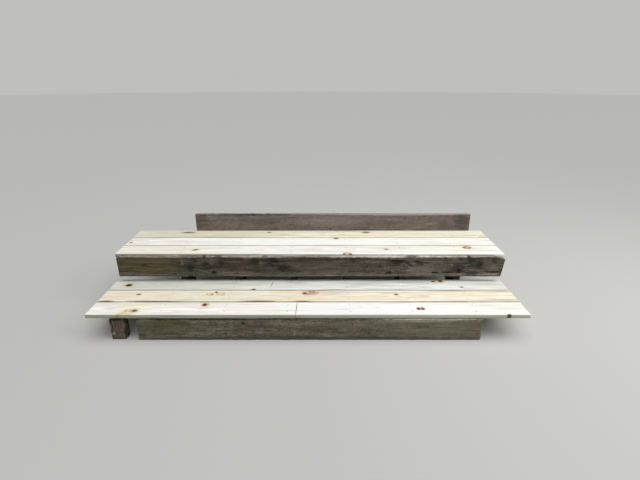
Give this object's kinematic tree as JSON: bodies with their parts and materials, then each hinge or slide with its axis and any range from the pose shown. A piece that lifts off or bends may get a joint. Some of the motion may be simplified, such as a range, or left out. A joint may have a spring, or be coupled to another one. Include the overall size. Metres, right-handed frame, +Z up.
{
  "type": "wooden deck stairs",
  "caption": "Broad low wooden steps of radius-edge deck boards on notched stringers, hung from the side of a deck.",
  "frame": {"origin": "on the rear face of the hanger board, where the stairs are fixed to the deck, at half the board's height and in line with the middle of the treads", "axes": "+X along the treads to the right as seen from the front, +Y back into the deck, +Z up"},
  "size_m": [2.4434, 0.8951, 0.4619],
  "materials": {
    "new_pine": "planed, untreated by weather, matt",
    "weathered_pine": "weathered, mildewed, matt",
    "grey_board": "weathered grey, matt",
    "stringer_pine": "rough sawn, gone dark with age, matt",
    "galvanised_steel": "dull galvanised",
    "old_block": "weathered, reddish brown, matt"
  },
  "bodies": {
    "root": {"lower_tread_front": "new_pine", "lower_tread_middle": "new_pine", "lower_tread_back": "new_pine", "upper_tread_front": "new_pine", "upper_tread_middle": "new_pine", "upper_tread_back": "new_pine", "lower_riser": "weathered_pine", "upper_riser": "weathered_pine", "hanger_board": "grey_board", "kicker_plate": "stringer_pine", "stringer_1": "stringer_pine", "stringer_2": "stringer_pine", "stringer_3": "stringer_pine", "stringer_4": "stringer_pine", "stringer_5": "stringer_pine", "stringer_6": "stringer_pine", "hanger_bracket_1": "galvanised_steel", "hanger_bracket_2": "galvanised_steel", "hanger_bracket_3": "galvanised_steel", "hanger_bracket_4": "galvanised_steel", "hanger_bracket_5": "galvanised_steel", "hanger_bracket_6": "galvanised_steel", "prop_block": "old_block"}
  },
  "joints": []
}
